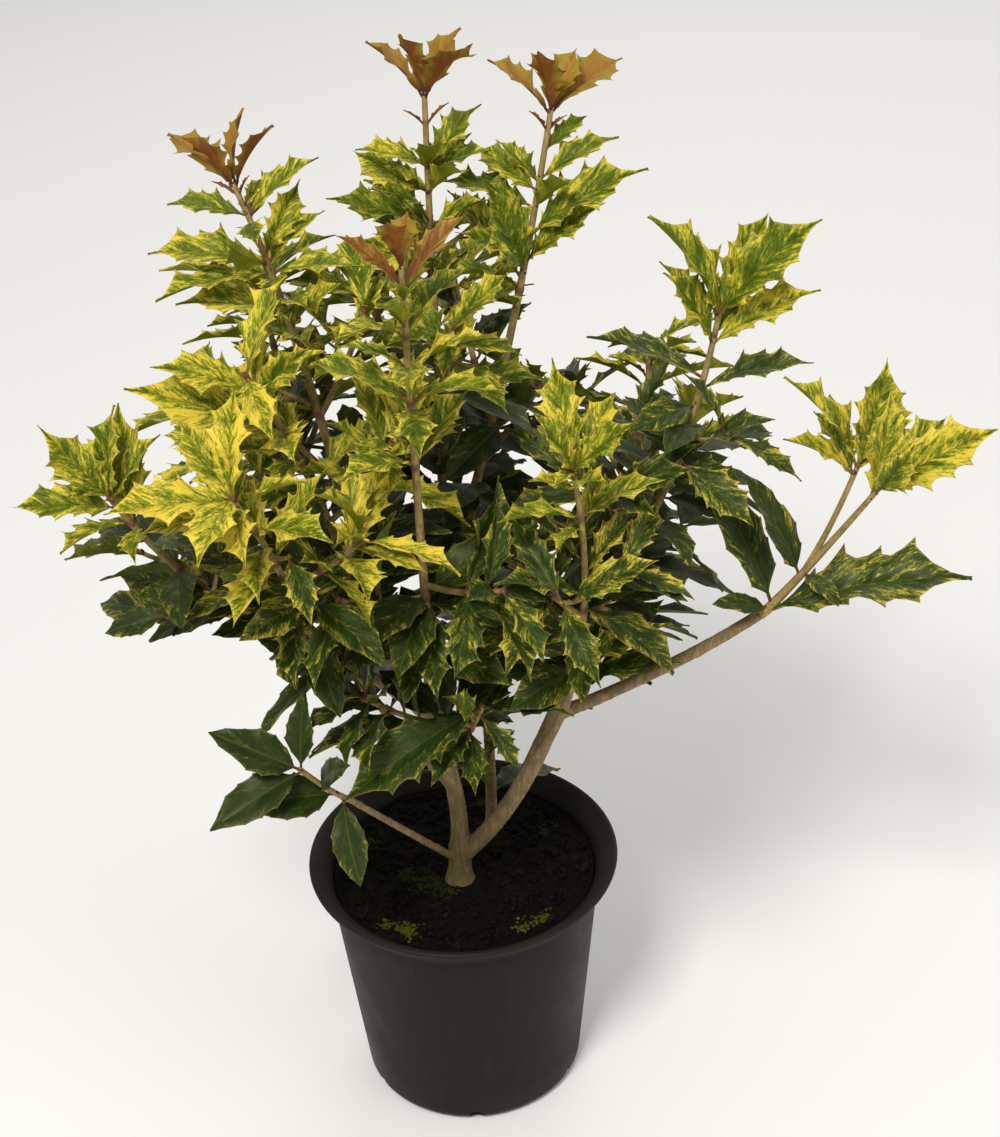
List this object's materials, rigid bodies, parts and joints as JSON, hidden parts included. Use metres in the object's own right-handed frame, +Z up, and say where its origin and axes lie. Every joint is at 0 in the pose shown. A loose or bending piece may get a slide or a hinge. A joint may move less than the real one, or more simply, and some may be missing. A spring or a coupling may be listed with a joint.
{
  "type": "potted holly olive shrub",
  "caption": "Young variegated holly olive shrub with spiny leaves on upright shoots, in a round black nursery pot.",
  "frame": {"origin": "centre of the pot's flat underside, on the ground", "axes": "+Z up along the pot's axis; -Y is the side the picture is taken from; +X is to its right"},
  "size_m": [0.4081, 0.2814, 0.5204],
  "materials": {
    "black_plastic": "satin, dusty",
    "peat": "rough and damp",
    "bark": "matt young bark",
    "variegated_leaf": "leathery, slightly glossy"
  },
  "bodies": {
    "root": {"pot": "black_plastic", "soil": "peat", "trunk": "bark", "stem_left": "bark", "stem_right": "bark", "bough_left_tall": "bark", "bough_left_middle": "bark", "bough_back_tall": "bark", "bough_front": "bark", "bough_far_left": "bark", "bough_left_front": "bark", "bough_back_right_tall": "bark", "bough_back_left": "bark", "bough_low_front": "bark", "bough_low_back_left": "bark", "bough_low_left": "bark", "bough_right_upright": "bark", "bough_far_right": "bark", "bough_right_middle": "bark", "bough_back_right": "bark", "bough_low_back_right": "bark", "bough_back": "bark", "mass_front": "variegated_leaf", "mass_back_tall": "variegated_leaf", "mass_back_right_tall": "variegated_leaf", "mass_left_tall": "variegated_leaf", "mass_left_middle": "variegated_leaf", "mass_left_front": "variegated_leaf", "mass_far_left": "variegated_leaf", "mass_low_left": "variegated_leaf", "mass_low_front": "variegated_leaf", "mass_right_tall": "variegated_leaf", "mass_far_right": "variegated_leaf", "mass_right_middle": "variegated_leaf", "mass_low_back_left": "variegated_leaf", "mass_back_left": "variegated_leaf", "mass_back": "variegated_leaf", "mass_back_right": "variegated_leaf", "mass_low_back_right": "variegated_leaf"}
  },
  "joints": []
}
